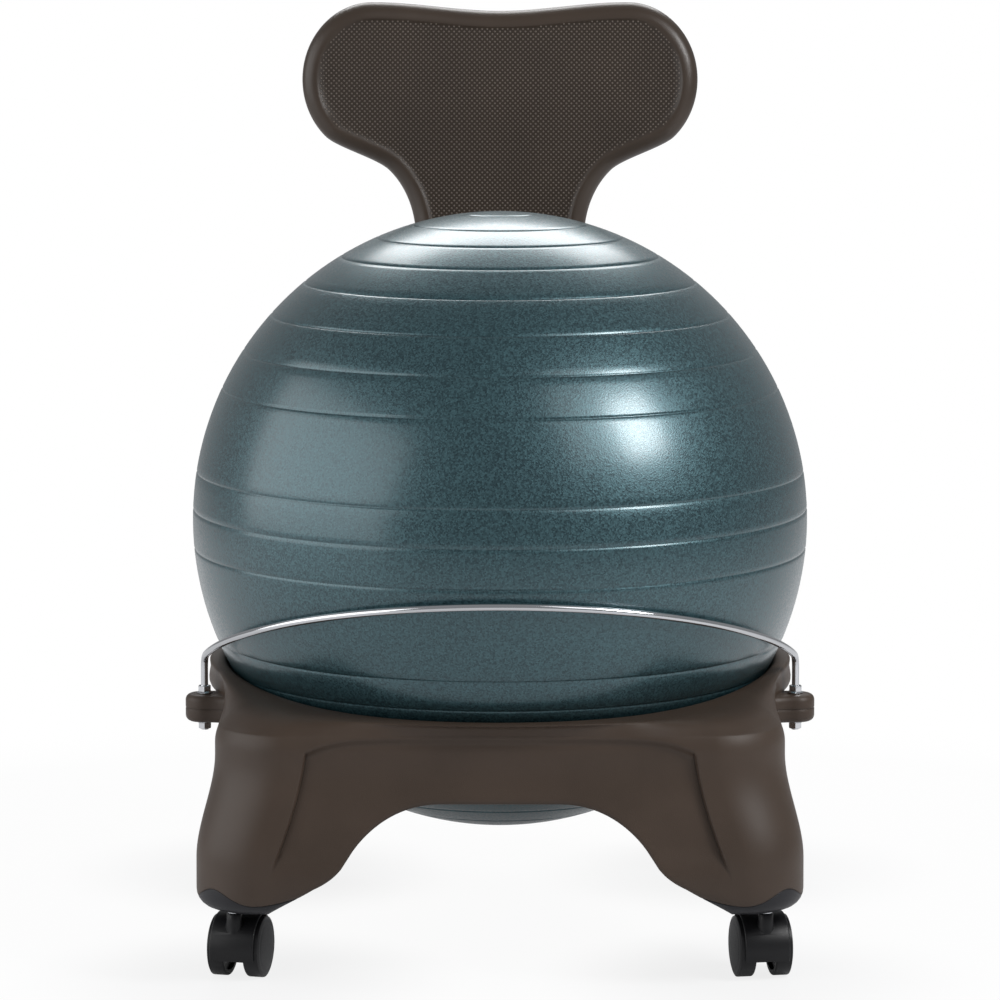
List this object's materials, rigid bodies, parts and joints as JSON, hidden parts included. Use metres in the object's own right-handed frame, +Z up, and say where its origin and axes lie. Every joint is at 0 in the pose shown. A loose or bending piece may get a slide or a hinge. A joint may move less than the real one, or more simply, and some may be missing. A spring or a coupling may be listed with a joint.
{
  "type": "balance ball chair",
  "caption": "Seat made of an inflated ringed ball in a moulded four-legged base on casters, with a T-shaped back support behind it and a chromed retaining bar round the front of the ball.",
  "frame": {"origin": "on the floor under the middle of the whole chair's width and depth", "axes": "+Z up, the front faces -Y, and +X points to the right as seen from the front"},
  "size_m": [0.528, 0.58, 0.778],
  "materials": {
    "base": "warm dark brown blow-moulded plastic with a fine satin grain",
    "cap": "charcoal moulded plastic, satin",
    "caster": "black moulded nylon, satin",
    "wheel": "black moulded nylon, satin faces and a dull tread",
    "ball": "teal-blue soft vinyl with a fine speckled sheen and raised rings",
    "plug": "teal-blue soft vinyl, matt",
    "chrome": "bright chrome plate",
    "steel": "plain zinc-plated steel"
  },
  "bodies": {
    "base": {"seat_base": "base", "foot_cap_front_left": "cap", "foot_cap_front_right": "cap", "foot_cap_rear_left": "cap", "foot_cap_rear_right": "cap", "stem_bush_front_left": "caster", "stem_bush_front_right": "caster", "stem_bush_rear_left": "caster", "stem_bush_rear_right": "caster", "back_support": "base", "back_washer_left": "steel", "back_washer_right": "steel", "back_screw_left": "steel", "back_screw_right": "steel", "retaining_bar": "chrome", "bar_nut_upper_left": "chrome", "bar_nut_upper_right": "chrome", "bar_nut_lower_left": "chrome", "bar_nut_lower_right": "chrome"},
    "ball": {"ball": "ball"},
    "valve_plug": {"valve_plug": "plug"},
    "caster_front_left": {"caster_stem_front_left": "steel", "caster_hood_front_left": "caster", "caster_axle_front_left": "steel"},
    "caster_front_right": {"caster_stem_front_right": "steel", "caster_hood_front_right": "caster", "caster_axle_front_right": "steel"},
    "caster_rear_left": {"caster_stem_rear_left": "steel", "caster_hood_rear_left": "caster", "caster_axle_rear_left": "steel", "brake_pin_rear_left": "steel"},
    "caster_rear_right": {"caster_stem_rear_right": "steel", "caster_hood_rear_right": "caster", "caster_axle_rear_right": "steel", "brake_pin_rear_right": "steel"},
    "wheel_front_left_left": {"wheel_front_left_left": "wheel"},
    "wheel_front_left_right": {"wheel_front_left_right": "wheel"},
    "wheel_front_right_left": {"wheel_front_right_left": "wheel"},
    "wheel_front_right_right": {"wheel_front_right_right": "wheel"},
    "wheel_rear_left_left": {"wheel_rear_left_left": "wheel"},
    "wheel_rear_left_right": {"wheel_rear_left_right": "wheel"},
    "wheel_rear_right_left": {"wheel_rear_right_left": "wheel"},
    "wheel_rear_right_right": {"wheel_rear_right_right": "wheel"},
    "brake_lever_rear_left": {"brake_lever_rear_left": "cap"},
    "brake_lever_rear_right": {"brake_lever_rear_right": "cap"}
  },
  "joints": [
    {"name": "ball_lift", "type": "slide", "parent": "base", "child": "ball", "axis": [0, 0, 1], "range_m": [0, 0.25]},
    {"name": "valve_pull", "type": "slide", "parent": "ball", "child": "valve_plug", "axis": [0, 0, -1], "range_m": [0, 0.02]},
    {"name": "swivel_front_left", "type": "hinge", "parent": "base", "child": "caster_front_left", "pos_m": [-0.216, -0.227, 0.07], "axis": [0, 0, 1], "continuous": true},
    {"name": "swivel_front_right", "type": "hinge", "parent": "base", "child": "caster_front_right", "pos_m": [0.216, -0.227, 0.07], "axis": [0, 0, 1], "continuous": true},
    {"name": "swivel_rear_left", "type": "hinge", "parent": "base", "child": "caster_rear_left", "pos_m": [-0.216, 0.183, 0.07], "axis": [0, 0, 1], "continuous": true},
    {"name": "swivel_rear_right", "type": "hinge", "parent": "base", "child": "caster_rear_right", "pos_m": [0.216, 0.183, 0.07], "axis": [0, 0, 1], "continuous": true},
    {"name": "roll_front_left_left", "type": "hinge", "parent": "caster_front_left", "child": "wheel_front_left_left", "pos_m": [-0.21189, -0.2105, 0.025], "axis": [0.9703, -0.2419, 0], "continuous": true},
    {"name": "roll_front_left_right", "type": "hinge", "parent": "caster_front_left", "child": "wheel_front_left_right", "pos_m": [-0.21189, -0.2105, 0.025], "axis": [0.9703, -0.2419, 0], "continuous": true},
    {"name": "roll_front_right_left", "type": "hinge", "parent": "caster_front_right", "child": "wheel_front_right_left", "pos_m": [0.21305, -0.21026, 0.025], "axis": [0.9848, 0.1736, 0], "continuous": true},
    {"name": "roll_front_right_right", "type": "hinge", "parent": "caster_front_right", "child": "wheel_front_right_right", "pos_m": [0.21305, -0.21026, 0.025], "axis": [0.9848, 0.1736, 0], "continuous": true},
    {"name": "roll_rear_left_left", "type": "hinge", "parent": "caster_rear_left", "child": "wheel_rear_left_left", "pos_m": [-0.21422, 0.19991, 0.025], "axis": [0.9945, -0.1045, 0], "continuous": true},
    {"name": "roll_rear_left_right", "type": "hinge", "parent": "caster_rear_left", "child": "wheel_rear_left_right", "pos_m": [-0.21422, 0.19991, 0.025], "axis": [0.9945, -0.1045, 0], "continuous": true},
    {"name": "roll_rear_right_left", "type": "hinge", "parent": "caster_rear_right", "child": "wheel_rear_right_left", "pos_m": [0.21363, 0.19983, 0.025], "axis": [0.9903, 0.1392, 0], "continuous": true},
    {"name": "roll_rear_right_right", "type": "hinge", "parent": "caster_rear_right", "child": "wheel_rear_right_right", "pos_m": [0.21363, 0.19983, 0.025], "axis": [0.9903, 0.1392, 0], "continuous": true},
    {"name": "brake_rear_left", "type": "hinge", "parent": "caster_rear_left", "child": "brake_lever_rear_left", "pos_m": [-0.21266, 0.21476, 0.03753], "axis": [0.9945, -0.1045, 0], "range_deg": [-18, 0]},
    {"name": "brake_rear_right", "type": "hinge", "parent": "caster_rear_right", "child": "brake_lever_rear_right", "pos_m": [0.21156, 0.21463, 0.03753], "axis": [0.9903, 0.1392, 0], "range_deg": [-18, 0]}
  ]
}
